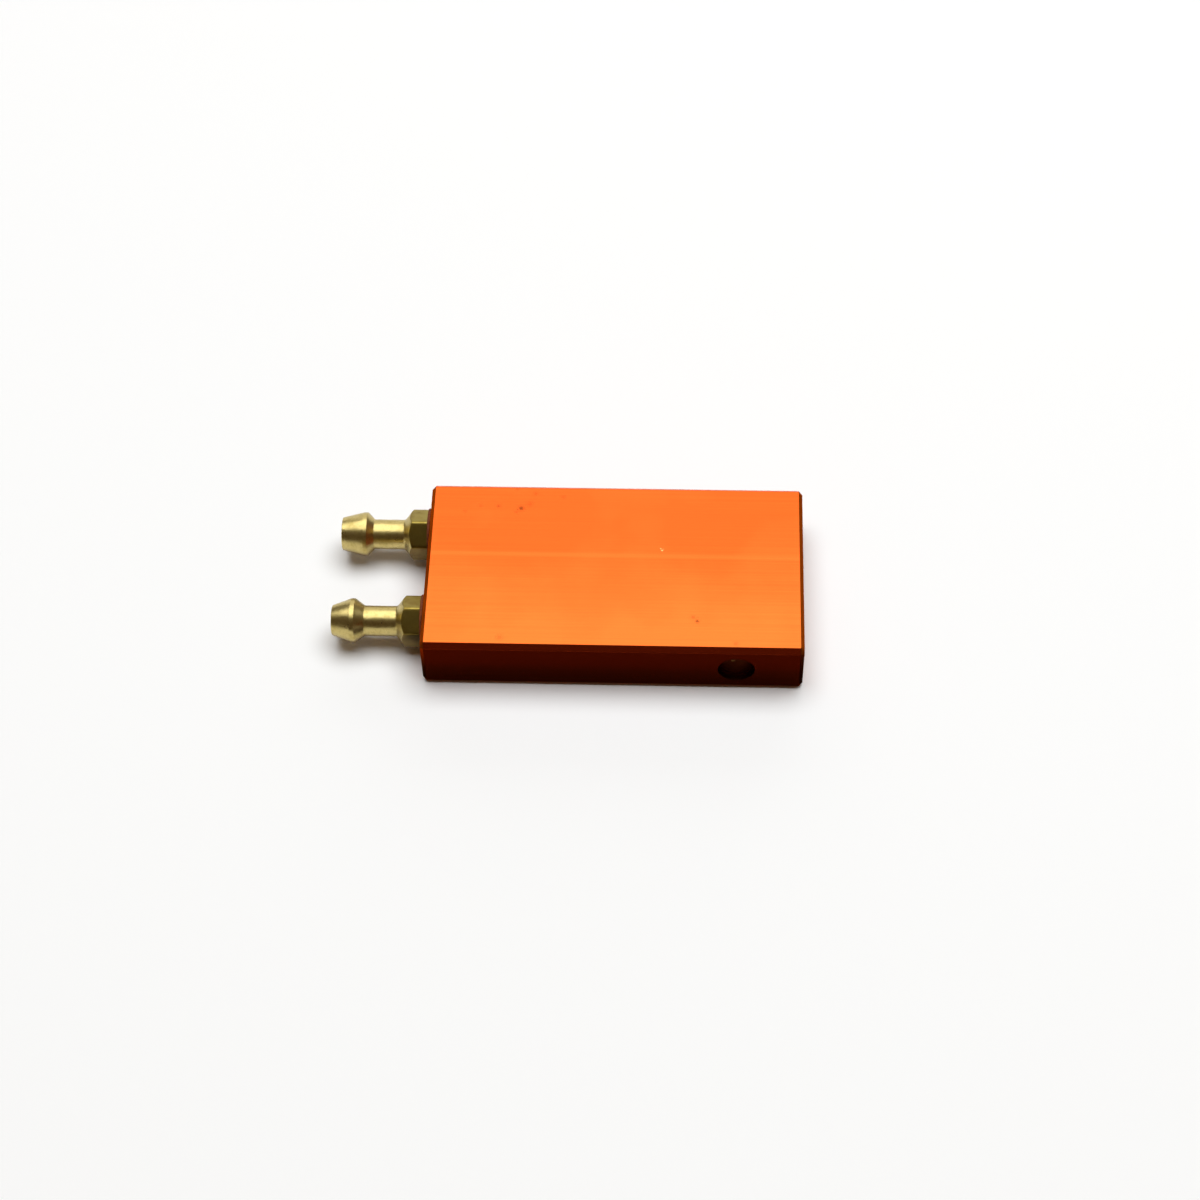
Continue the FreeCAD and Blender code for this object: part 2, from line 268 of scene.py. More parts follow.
def mesh_from_rings(name, rings, closed=False, capped=False, bands=()):
    """A mesh of faces between rings of equally many points. A ring of one point is a pole.

    bands holds pairs of ring numbers, between which faces take the second material. A cap takes
    the material beside it.
    """
    vertices, numbers = [], []
    for ring in rings:
        numbers.append(range(len(vertices), len(vertices) + len(ring)))
        vertices.extend(ring)
    pairs = list(zip(numbers, numbers[1:]))
    if closed:
        pairs.append((numbers[-1], numbers[0]))
    faces, slots = [], []
    for step, (low, high) in enumerate(pairs):
        slot = int(any(first <= step < last for first, last in bands))
        count = max(len(low), len(high))
        for k in range(count):
            following = (k + 1) % count
            corners = [low[k % len(low)], low[following % len(low)]]
            corners += [high[following % len(high)], high[k % len(high)]]
            faces.append(list(dict.fromkeys(corners)))
            slots.append(slot)
    if capped:
        faces += [list(reversed(numbers[0])), list(numbers[-1])]
        slots += [slots[0], slots[-1]]
    mesh = bpy.data.meshes.new(name)
    mesh.from_pydata(vertices, [], faces)
    mesh.polygons.foreach_set("material_index", slots)
    return mesh


def turned_rings(profile, place, angles):
    """Rings of a turned form: profile is (along the axis, radius), place maps a point to 3-D."""
    rings = []
    for along, radius in profile:
        if radius == 0:
            rings.append([place(along, 0.0, 0.0)])
        else:
            rings.append([place(along, radius, angle) for angle in angles])
    return rings


def full_turn(points=ROUND_POINTS):
    """Evenly spaced angles all the way round."""
    return [2 * math.pi * k / points for k in range(points)]


def along_axis(origin, axis, start):
    """A placing function for turned forms: angles are measured from start, right-handed."""
    side = axis.cross(start)

    def place(along, radius, angle):
        outwards = start * math.cos(angle) + side * math.sin(angle)
        return origin + axis * along + outwards * radius

    return place


def face_outwards(mesh):
    """Turns all faces of a closed mesh outwards."""
    volume = 0.0
    mesh.calc_loop_triangles()
    for triangle in mesh.loop_triangles:
        a, b, c = (mesh.vertices[k].co for k in triangle.vertices)
        volume += a.dot(b.cross(c))
    if volume < 0:
        mesh.flip_normals()


def shade_smooth(mesh):
    """Shades the mesh smooth between its crisp edges."""
    mesh.polygons.foreach_set("use_smooth", [True] * len(mesh.polygons))
    mesh.set_sharp_from_angle(angle=CRISP_ANGLE)


def make_object(name, mesh):
    """Links a new object for the mesh, with its faces outwards and smooth."""
    face_outwards(mesh)
    shade_smooth(mesh)
    made = bpy.data.objects.new(name, mesh)
    bpy.context.scene.collection.objects.link(made)
    return made


def cut_away(piece, cutters):
    """Subtracts each cutting form from the piece and deletes it."""
    for cutter in cutters:
        cut = piece.modifiers.new("cut", "BOOLEAN")
        cut.operation = "DIFFERENCE"
        cut.solver = "EXACT"
        cut.object = cutter
    depsgraph = bpy.context.evaluated_depsgraph_get()
    mesh = bpy.data.meshes.new_from_object(piece.evaluated_get(depsgraph))
    piece.modifiers.clear()
    piece.data = mesh
    for cutter in cutters:
        bpy.data.meshes.remove(cutter.data)
    shade_smooth(mesh)


def finish_piece(piece, materials, node):
    """Gives a piece its materials and even shading, hides the CAD node it stands for, and hangs it
    under the root.
    """
    while len(piece.data.materials) < len(materials):
        piece.data.materials.append(None)
    for index, material in enumerate(materials):
        piece.data.materials[index] = material
    shading = piece.modifiers.new("even_flats", "WEIGHTED_NORMAL")
    shading.keep_sharp = True
    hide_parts(node)
    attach(piece, "root")


# ---- materials ----


def metal(tree, colour, roughness, height, depth, edge_tint=(1.0, 1.0, 1.0)):
    """Bare or dyed metal whose relief is height times depth; ends the material.

    The edge tint is what a glancing view adds: white on bare metal, and orange under a dye.
    """
    bump = add_node(tree, "ShaderNodeBump", {"Height": height, "Distance": depth, "Strength": 1.0})
    values = {
        "Base Color": colour,
        "Metallic": 1.0,
        "Roughness": roughness,
        "Specular Tint": (*edge_tint, 1.0),
        "Normal": bump.outputs["Normal"],
    }
    end_material(tree, add_node(tree, "ShaderNodeBsdfPrincipled", values))


def spot(tree, place, grain, centre, radius, strength=1.0):
    """How strongly a ragged spot shows: strength at its centre, 0 from its radius on."""
    away = add_node(tree, "ShaderNodeVectorMath", {0: place, 1: centre}, operation="DISTANCE")
    edge = ramp(tree, grain, 0.3, 0.7, 0.4, 2.0)
    ragged = calculate(tree, "MULTIPLY", away.outputs["Value"], edge)
    return ramp(tree, ragged, radius, radius * 0.3, 0.0, strength)


def anodised_bar(finish):
    """Orange dyed anodising on extruded aluminium bar.

    The clear oxide leaves the metal's own mirror under the dye, so the face takes the colour of
    the light above it and goes deep maroon where it faces something dark. Drawing the bar
    leaves fine lines along its length.
    """
    material, tree = new_material("anodised_aluminium_extruded_bar")
    place = place_in_mm(tree)

    # die lines 0.12 mm apart that run the bar's whole length
    lines = noise(tree, place_in_mm(tree, (0.012, 8.0, 8.0)), 1.0, detail=3.0)
    # clouds in the dye about 9 mm across
    clouds = noise(tree, place, 0.11, detail=3.0)
    # the etch before anodising leaves a grain of about 0.1 mm
    grain = noise(tree, place, 9.0, detail=2.0)

    # painted light: the top is painted paler towards the front side, where it shows more of the
    # lamp, and the dye varies in random clouds
    across = coordinate(tree, "Y")
    painted_light_and_clouds = ramp(tree, across, 6.0, -12.0)
    painted_light_and_clouds = calculate(tree, "ADD", painted_light_and_clouds, ramp(tree, clouds, 0.35, 0.65, -0.15, 0.15))
    dye = mix_colours(tree, painted_light_and_clouds, finish.deep_dye_and_painted_shade, finish.pale_dye_and_painted_light)
    # one die line near the middle of the top shows paler
    away = calculate(tree, "ABSOLUTE", calculate(tree, "SUBTRACT", across, DIE_LINE_Y))
    dye = mix_colours(tree, ramp(tree, away, 0.5, 0.05, 0.0, 0.5), dye, finish.pale_dye_and_painted_light)
    # painted shade: the upright sides and the long chamfers get a darker, redder copy of the dye
    painted_side_shade = ramp(tree, calculate(tree, "ABSOLUTE", across), 10.65, 10.8)
    dye = mix_colours(tree, painted_side_shade, dye, finish.shaded_side_dye)
    dye = mix_colours(tree, 1.0, dye, ramp(tree, lines, 0.3, 0.7, 0.92, 1.06), "MULTIPLY")

    dirt = 0.0
    for x, y, radius, strength in MARKS:
        mark = spot(tree, place, grain, (x, y, BLOCK_TOP), radius, strength)
        dirt = calculate(tree, "ADD", dirt, mark)
    dye = mix_colours(tree, dirt, dye, finish.grime)
    for x, y, radius in CHIPS:
        chip = spot(tree, place, grain, (x, y, BLOCK_TOP), radius)
        dye = mix_colours(tree, chip, dye, finish.bare_metal)

    height = calculate(tree, "ADD", calculate(tree, "MULTIPLY", lines, 0.7), grain)
    # dirt takes the shine off
    duller = calculate(tree, "MULTIPLY", dirt, 0.35)
    roughness = calculate(tree, "ADD", ramp(tree, grain, 0.3, 0.7, 0.2, 0.27), duller)
    metal(tree, dye, roughness, height, 0.0008 * MM, DYED_EDGE)
    return material


def anodised_cut(finish):
    """The same anodising on the sawn, chamfered and drilled surfaces.

    Cut aluminium etches rougher than the extruded skin, so these surfaces are darker and duller.
    """
    material, tree = new_material("anodised_aluminium_cut")
    # cutter marks 0.15 mm apart
    marks = noise(tree, place_in_mm(tree, (7.0, 1.5, 7.0)), 1.0, detail=3.0)
    tone = ramp(tree, marks, 0.3, 0.7, 0.9, 1.06)
    # painted shade: the cut surfaces are painted darker at the two upright front corners and in the
    # plug's seat
    corner_and_seat_shade = ramp(tree, coordinate(tree, "Y"), -10.3, -10.9, 1.0, 0.25)
    tone = calculate(tree, "MULTIPLY", tone, corner_and_seat_shade)
    colour = mix_colours(tree, 1.0, finish.dye_cut, tone, "MULTIPLY")
    metal(tree, colour, 0.36, marks, 0.002 * MM, DYED_EDGE)
    return material


def pressed_plug(finish):
    """The plug, anodised in the same bath.

    It is pitted and dull, and its dye is painted dark as painted shade for the recess it sits in.
    One chip shows bare metal and partly stands for a glint at its rim.
    """
    material, tree = new_material("anodised_aluminium_pressed_plug")
    place = place_in_mm(tree)
    # pits about 0.2 mm across
    pits = noise(tree, place, 5.0, detail=3.0)
    # bare-metal chip where the rim glints, partly a painted glint
    chip = spot(tree, place, pits, *PLUG_CHIP_AND_GLINT)
    colour = mix_colours(tree, chip, finish.shaded_plug_dye, finish.bare_metal)
    metal(tree, colour, 0.5, pits, 0.004 * MM, DYED_EDGE)
    return material


def shade_underside(tree, colour, finish, high, low):
    """Painted shade: darkens the brass below the given heights in millimetres, on its underside."""
    underside_mask = ramp(tree, coordinate(tree, "Z"), high, low)
    return mix_colours(tree, underside_mask, colour, finish.underside_shade_colour, "MULTIPLY")


def turned_brass(finish):
    """Free-cutting brass straight from the lathe.

    The tool leaves fine rings round the axis, which spread each highlight along the nozzle, and
    handling leaves it slightly brown.
    """
    material, tree = new_material("turned_brass")
    # feed marks 0.09 mm apart, the same all the way round
    rings = noise(tree, place_in_mm(tree, (11.0, 0.15, 0.15)), 1.0, detail=2.0)
    # tarnish in patches of about 1.5 mm
    patches = noise(tree, place_in_mm(tree), 0.7, detail=4.0, roughness=0.6)
    tarnished = ramp(tree, patches, 0.45, 0.75, 0.0, 0.6)
    colour = mix_colours(tree, tarnished, finish.brass_colour, finish.brass_tarnish)
    # torn spots about 0.25 mm across, where the tool chattered, are browner
    torn = noise(tree, place_in_mm(tree), 4.0, detail=2.0)
    browner = ramp(tree, torn, 0.5, 0.68, 0.0, 0.2)
    colour = mix_colours(tree, browner, colour, finish.brass_tarnish, "MULTIPLY")
    # shallow dents about 0.6 mm across, from handling
    dents = noise(tree, place_in_mm(tree), 1.6, detail=1.0)
    height = calculate(tree, "ADD", rings, calculate(tree, "MULTIPLY", dents, 3.0))
    height = calculate(tree, "SUBTRACT", height, calculate(tree, "MULTIPLY", torn, 0.35))
    # painted shade on the nozzle's underside
    colour = shade_underside(tree, colour, finish, 3.3, 2.6)
    metal(tree, colour, ramp(tree, patches, 0.3, 0.8, 0.27, 0.38), height, 0.006 * MM)
    return material


def drawn_brass(finish):
    """Brass hexagon bar as drawn, left uncut on the spanner flats.

    The drawn skin is duller and more olive than the turned metal, with lines along the bar.
    """
    material, tree = new_material("drawn_brass_hexagon_bar")
    # drawing lines 0.1 mm apart along the axis
    lines = noise(tree, place_in_mm(tree, (0.2, 10.0, 10.0)), 1.0, detail=2.0)
    # darker patches about 0.9 mm across
    patches = noise(tree, place_in_mm(tree), 1.1, detail=3.0)
    shaded = ramp(tree, patches, 0.35, 0.7)
    colour = mix_colours(tree, shaded, finish.bar_colour, finish.bar_shade)
    # painted shade on the hexagon's underside
    colour = shade_underside(tree, colour, finish, 4.85, 4.5)
    metal(tree, colour, ramp(tree, patches, 0.3, 0.7, 0.28, 0.36), lines, 0.001 * MM)
    return material


def vulcanised_fibre(finish):
    """Punched vulcanised fibre, the red-brown sheet that sealing washers are cut from.

    It is matt and slightly mottled, with short fibres showing.
    """
    material, tree = new_material("vulcanised_fibre_punched")
    # fibres about 0.25 mm long
    fibres = noise(tree, place_in_mm(tree), 4.0, detail=4.0)
    lit = ramp(tree, fibres, 0.3, 0.7)
    relief = {"Height": fibres, "Distance": 0.01 * MM, "Strength": 1.0}
    values = {
        "Base Color": mix_colours(tree, lit, finish.fibre_shade, finish.fibre_colour),
        "Roughness": 0.8,
        "IOR": 1.5,
        "Specular IOR Level": 0.2,
        "Normal": add_node(tree, "ShaderNodeBump", relief).outputs["Normal"],
    }
    end_material(tree, add_node(tree, "ShaderNodeBsdfPrincipled", values))
    return material


def flat_paint(name, colour):
    """A matt surface of the stage, in one colour."""
    material, tree = new_material(name)
    end_material(tree, add_node(tree, "ShaderNodeBsdfDiffuse", {"Color": colour}))
    return material


# ---- sizes and colours that a user would change ----


class ColdPlateBlockSizes(bpy.types.PropertyGroup):
    """The drilled block and its plug."""

    bar_chamfer: FloatProperty(
        name="Bar chamfer",
        description="Chamfer along the bar's four long edges",
        default=0.55 * MM,
        unit="LENGTH",
    )
    end_chamfer: FloatProperty(
        name="End chamfer",
        description="Chamfer round both sawn ends",
        default=0.4 * MM,
        unit="LENGTH",
    )
    edge_break: FloatProperty(
        name="Edge break",
        description="Rounding that tumbling leaves on a cut edge",
        default=0.06 * MM,
        unit="LENGTH",
    )
    channel_diameter: FloatProperty(
        name="Channel diameter",
        description="Drill of the two long channels",
        default=3.3 * MM,
        unit="LENGTH",
    )
    cross_diameter: FloatProperty(
        name="Cross channel diameter",
        description="Drill of the cross channel",
        default=3.0 * MM,
        unit="LENGTH",
    )
    mouth_diameter: FloatProperty(
        name="Tapped mouth",
        description="Diameter of the tapped mouths",
        default=4.04 * MM,
        unit="LENGTH",
    )
    mouth_depth: FloatProperty(
        name="Tapped depth",
        description="Depth of the tapped mouths",
        default=5.0 * MM,
        unit="LENGTH",
    )
    mouth_chamfer: FloatProperty(
        name="Mouth chamfer",
        description="Lead-in of each tapped mouth",
        default=0.25 * MM,
        unit="LENGTH",
    )
    drill_point: FloatProperty(
        name="Drill point",
        description="Included angle of the drill's point",
        default=math.radians(118.0),
        subtype="ANGLE",
    )
    plug_crown_radius: FloatProperty(
        name="Plug crown",
        description="Radius of the plug's domed end",
        default=3.6 * MM,
        unit="LENGTH",
    )
    plug_clearance: FloatProperty(
        name="Plug clearance",
        description="Gap between the plug and its seat",
        default=0.01 * MM,
        unit="LENGTH",
    )


class ColdPlateNozzleSizes(bpy.types.PropertyGroup):
    """The two hose nozzles; sizes of two numbers are for the front and the rear one."""

    across_flats: FloatProperty(
        name="Across flats",
        description="Width over the hexagon's flats",
        default=5.0 * MM,
        unit="LENGTH",
    )
    hexagon_length: FloatProperty(
        name="Hexagon length",
        description="Length of the full hexagon",
        default=1.69 * MM,
        unit="LENGTH",
    )
    shoulder_length: FloatProperty(
        name="Shoulder length",
        description="Cone from the hexagon's corners to the neck",
        default=0.97 * MM,
        unit="LENGTH",
    )
    neck_diameter: FloatProperty(
        name="Neck diameter",
        description="Neck between shoulder and barb",
        default=3.35 * MM,
        unit="LENGTH",
    )
    neck_fillet: FloatProperty(
        name="Neck fillet",
        description="Hollow where the neck meets the shoulder",
        default=0.3 * MM,
        unit="LENGTH",
    )
    barb_diameter: FloatProperty(
        name="Barb diameter",
        description="Largest diameter of the barb",
        default=4.9 * MM,
        unit="LENGTH",
    )
    crest_length: FloatProperty(
        name="Crest length",
        description="Plain land on the barb's crest",
        default=0.45 * MM,
        unit="LENGTH",
    )
    bore_diameter: FloatProperty(
        name="Bore diameter",
        description="Coolant bore",
        default=2.0 * MM,
        unit="LENGTH",
    )
    thread_diameter: FloatProperty(
        name="Thread diameter",
        description="Outer diameter of the thread",
        default=4.0 * MM,
        unit="LENGTH",
    )
    thread_pitch: FloatProperty(
        name="Thread pitch",
        description="Advance of the thread in one turn",
        default=0.7 * MM,
        unit="LENGTH",
    )
    thread_depth: FloatProperty(
        name="Thread depth",
        description="Depth of the thread's groove",
        default=0.4 * MM,
        unit="LENGTH",
    )
    corner_rounding: FloatProperty(
        name="Corner rounding",
        description="Rounding of the hexagon bar's corners",
        default=0.3 * MM,
        unit="LENGTH",
    )
    edge_break: FloatProperty(
        name="Edge break",
        description="Width of the broken edges on the hexagon",
        default=0.05 * MM,
        unit="LENGTH",
    )
    neck_length: FloatVectorProperty(
        name="Neck length",
        description="Length of the neck, front and rear",
        size=2,
        default=(3.6 * MM, 3.45 * MM),
        unit="LENGTH",
    )
    back_length: FloatVectorProperty(
        name="Barb back",
        description="Cone from the neck up to the crest, front and rear",
        size=2,
        default=(1.05 * MM, 0.75 * MM),
        unit="LENGTH",
    )
    tip_diameter: FloatVectorProperty(
        name="Tip diameter",
        description="End of the nose, front and rear",
        size=2,
        default=(3.3 * MM, 3.7 * MM),
        unit="LENGTH",
    )
    hexagon_turn: FloatVectorProperty(
        name="Hexagon turn",
        description="Angle of a corner from straight up, towards the rear, front and rear",
        size=2,
        default=(math.radians(-5.0), math.radians(-8.2)),
        subtype="EULER",
    )


class ColdPlateFinish(bpy.types.PropertyGroup):
    """Colours of the object's finishes."""

    # painted light: the pale dye is the top's colour at the front, painted lighter there; it also
    # colours the paler die line
    pale_dye_and_painted_light: FloatVectorProperty(
        name="Pale dye",
        description="Anodising dye where it took least",
        subtype="COLOR",
        default=linear("D06126"),
    )
    # painted shade: the deep dye is the top's colour at the rear, painted darker than the front
    deep_dye_and_painted_shade: FloatVectorProperty(
        name="Deep dye",
        description="Anodising dye where it took most",
        subtype="COLOR",
        default=linear("C9511C"),
    )
    # painted shade: a darker, redder copy of the dye for the upright sides and the long chamfers
    shaded_side_dye: FloatVectorProperty(
        name="Side dye",
        description="Anodising dye on the narrow sides",
        subtype="COLOR",
        default=linear("D0491E"),
    )
    dye_cut: FloatVectorProperty(
        name="Cut surface",
        description="Dye on sawn and drilled surfaces",
        subtype="COLOR",
        default=linear("A04A18"),
    )
    # painted shade: the plug's dye is painted darker than the block's, for the shade of its recess
    shaded_plug_dye: FloatVectorProperty(
        name="Plug", description="Dye on the plug", subtype="COLOR", default=linear("7A381A")
    )
    grime: FloatVectorProperty(
        name="Grime", description="Dirt in small marks", subtype="COLOR", default=linear("5A3014")
    )
    bare_metal: FloatVectorProperty(
        name="Bare metal",
        description="Aluminium where the dye is chipped",
        subtype="COLOR",
        default=linear("C49A5C"),
    )
    brass_colour: FloatVectorProperty(
        name="Turned brass",
        description="Freshly cut brass",
        subtype="COLOR",
        default=linear("C4B171"),
    )
    brass_tarnish: FloatVectorProperty(
        name="Tarnish",
        description="Brass browned by air",
        subtype="COLOR",
        default=linear("A79148"),
    )
    bar_colour: FloatVectorProperty(
        name="Drawn brass", description="Drawn brass bar", subtype="COLOR", default=linear("958440")
    )
    bar_shade: FloatVectorProperty(
        name="Drawn brass shade",
        description="Darker patches of the drawn bar",
        subtype="COLOR",
        default=linear("857030"),
    )
    # painted shade: what the brass undersides keep of their colour
    underside_shade_colour: FloatVectorProperty(
        name="Oil film",
        description="What an old oil film lets through on the brass undersides",
        subtype="COLOR",
        default=linear("CBBCAD"),
    )
    fibre_colour: FloatVectorProperty(
        name="Fibre", description="Washer fibre", subtype="COLOR", default=linear("7D3E1C")
    )
    fibre_shade: FloatVectorProperty(
        name="Fibre shade", description="Darker fibres", subtype="COLOR", default=linear("5A2812")
    )


class ColdPlateStage(bpy.types.PropertyGroup):
    """The floor, the lamps and the camera."""

    floor_radius: FloatProperty(
        name="Floor radius", description="Radius of the white floor", default=2.5, unit="LENGTH"
    )
    floor_colour: FloatVectorProperty(
        name="Floor", description="White paper floor", subtype="COLOR", default=linear("FCFCFA")
    )
    lamp_distance: FloatProperty(
        name="Lamp distance", description="From the object to the lamps", default=1.0, unit="LENGTH"
    )
    lamp_colour: FloatVectorProperty(
        name="Lamp colour",
        description="Tint of both lamps",
        subtype="COLOR",
        default=(0.98, 1.01, 1.05),
        soft_max=2.0,
    )
    key_brightness: FloatProperty(
        name="Key brightness",
        description="Brightness of the lamp that lights matt surfaces, where white paper is 1",
        default=4.62,
        min=0.0,
    )
    key_spread: FloatVectorProperty(
        name="Key spread",
        description="Angles that the key lamp fills, sideways and front to rear",
        size=2,
        subtype="EULER",
        default=(math.radians(60.0), math.radians(46.0)),
    )
    key_tilt: FloatProperty(
        name="Key tilt",
        description="Lean of the key lamp towards the rear",
        default=math.radians(8.0),
        subtype="ANGLE",
    )
    key_lean: FloatProperty(
        name="Key lean",
        description="Lean of the key lamp towards the plain end",
        default=math.radians(4.0),
        subtype="ANGLE",
    )
    soft_box_brightness: FloatProperty(
        name="Soft box brightness",
        description="Brightness of the soft box that metal reflects, where white paper is 1",
        default=2.45,
        min=0.0,
    )
    soft_box_spread: FloatVectorProperty(
        name="Soft box spread",
        description="Angles that the soft box fills, sideways and front to rear",
        size=2,
        subtype="EULER",
        default=(math.radians(96.0), math.radians(64.0)),
    )
    soft_box_tilt: FloatProperty(
        name="Soft box tilt",
        description="Lean of the soft box towards the rear",
        default=math.radians(18.0),
        subtype="ANGLE",
    )
    backdrop_brightness: FloatProperty(
        name="Backdrop brightness",
        description="Brightness of the lit backdrop, where lit white paper is 1",
        default=1.0,
        min=0.0,
    )
    backdrop_size: FloatVectorProperty(
        name="Backdrop size",
        description="Width and height of the lit backdrop",
        size=2,
        subtype="TRANSLATION",
        unit="LENGTH",
        default=(1.2, 0.7),
    )
    backdrop_distance: FloatProperty(
        name="Backdrop distance",
        description="From the object to the lit backdrop behind it",
        default=1.0,
        unit="LENGTH",
    )
    # painted shade: the dark card and the darker strip put shade into the block's front face
    card_width: FloatProperty(
        name="Dark card",
        description="Width of the dark card in front of the block, seen in its front face only",
        default=40.0 * MM,
        unit="LENGTH",
    )
    card_reach: FloatVectorProperty(
        name="Card reach",
        description="How far the card runs on past the block's two ends",
        size=2,
        default=(3.0 * MM, 10.0 * MM),
        unit="LENGTH",
    )
    strip_width: FloatProperty(
        name="Darker strip",
        description="Width of the darker strip along the block",
        default=2.4 * MM,
        unit="LENGTH",
    )
    strip_colour: FloatVectorProperty(
        name="Strip",
        description="The strip beside the block",
        subtype="COLOR",
        default=linear("383A39"),
    )
    card_colour: FloatVectorProperty(
        name="Card", description="Dark red-brown card", subtype="COLOR", default=linear("4A3A38")
    )
    room_colour: FloatVectorProperty(
        name="Room", description="Dim room all round", subtype="COLOR", default=(0.088, 0.058, 0.03)
    )
    camera_place: FloatVectorProperty(
        name="Camera place",
        description="Where the camera stands",
        subtype="TRANSLATION",
        unit="LENGTH",
        default=(7.63 * MM, -176.8 * MM, 244.0 * MM),
    )
    camera_turn: FloatVectorProperty(
        name="Camera turn",
        description="The camera's tilt, roll and pan",
        subtype="EULER",
        default=(math.radians(36.01), math.radians(0.9), math.radians(1.78)),
    )
    lens: FloatProperty(
        name="Lens", description="Focal length", default=80.6, unit="CAMERA"
    )


# ---- operators ----


class ColdPlateOperator:
    """What the operators of this add-on share."""

    bl_options = {"REGISTER", "UNDO"}


class COLDPLATE_OT_block(ColdPlateOperator, bpy.types.Operator):
    """Make the drilled block of anodised bar"""

    bl_idname = "coldplate.block"
    bl_label = "Block"

    def execute(self, context):
        sizes = context.scene.cold_plate_block
        low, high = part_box("cooling_block")
        chamfer, rounding = sizes.end_chamfer, sizes.edge_break

        def section(x, inset):
            """The bar's outline at one place along it, drawn in by the inset."""
            cut = sizes.bar_chamfer - inset * (2 - math.sqrt(2))
            front, rear = low.y + inset, high.y - inset
            bottom, top = low.z + inset, high.z - inset
            corners = (
                (front + cut, bottom),
                (rear - cut, bottom),
                (rear, bottom + cut),
                (rear, top - cut),
                (rear - cut, top),
                (front + cut, top),
                (front, top - cut),
                (front, bottom + cut),
            )
            outline = round_corners([(y, z, rounding) for y, z in corners], closed=True)
            return [Vector((x, y, z)) for y, z in outline]

        stations = round_corners(
            (
                (low.x, chamfer + 2 * rounding, 0),
                (low.x, chamfer, rounding),
                (low.x + chamfer, 0, rounding),
                (high.x - chamfer, 0, rounding),
                (high.x, chamfer, rounding),
                (high.x, chamfer + 2 * rounding, 0),
            )
        )
        rings = [section(x, inset) for x, inset in stations]
        # the long stretch in the middle keeps the drawn skin, and both ends are cut
        middle = len(rings) // 2
        bands = ((0, middle - 1), (middle, len(rings) - 1))
        mesh = mesh_from_rings("drilled_block", rings, capped=True, bands=bands)
        block = make_object("drilled_block", mesh)
        finish = context.scene.cold_plate_finish
        materials = [anodised_bar(finish), anodised_cut(finish)]
        for material in materials:
            block.data.materials.append(material)
        cut_away(block, self.cutters(sizes, low))
        finish_piece(block, materials, "cooling_block")
        return {"FINISHED"}

    def cutters(self, sizes, low):
        """Cutting forms of the two long channels and the cross channel."""
        plug_low, plug_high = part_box("channel_plug")
        cross = (plug_low + plug_high) / 2
        made = []
        for side in SIDES:
            washer_low, washer_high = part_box(f"{side}_nozzle_washer")
            centre = (washer_low + washer_high) / 2
            mouth = Vector((low.x, centre.y, centre.z))
            length = cross.x - low.x + sizes.channel_diameter / 2
            made.append(
                self.drill_form(
                    along_axis(mouth, Vector((1, 0, 0)), Vector((0, 0, 1))),
                    sizes.channel_diameter / 2,
                    length,
                    sizes.mouth_diameter / 2,
                    sizes.mouth_depth,
                    sizes.mouth_chamfer,
                    sizes.drill_point,
                )
            )
        rear_low, rear_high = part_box("rear_nozzle_washer")
        mouth = Vector((cross.x, low.y, cross.z))
        made.append(
            self.drill_form(
                along_axis(mouth, Vector((0, 1, 0)), Vector((0, 0, 1))),
                sizes.cross_diameter / 2,
                (rear_low.y + rear_high.y) / 2 - low.y,
                (plug_high.x - plug_low.x) / 2 + sizes.plug_clearance,
                plug_high.y - low.y,
                sizes.edge_break / 2,
                sizes.drill_point,
            )
        )
        return made

    def drill_form(self, place, radius, depth, seat_radius, seat_depth, chamfer, point):
        """What a drill, a wider seat and a countersink take away."""
        profile = (
            (-OVERCUT, 0),
            (-OVERCUT, seat_radius + chamfer + OVERCUT),
            (chamfer, seat_radius),
            (seat_depth, seat_radius),
            (seat_depth, radius),
            (depth, radius),
            (depth + radius / math.tan(point / 2), 0),
        )
        rings = turned_rings(profile, place, full_turn(DRILLED_POINTS))
        mesh = mesh_from_rings("drill_form", rings, bands=((0, len(rings)),))
        return make_object("drill_form", mesh)


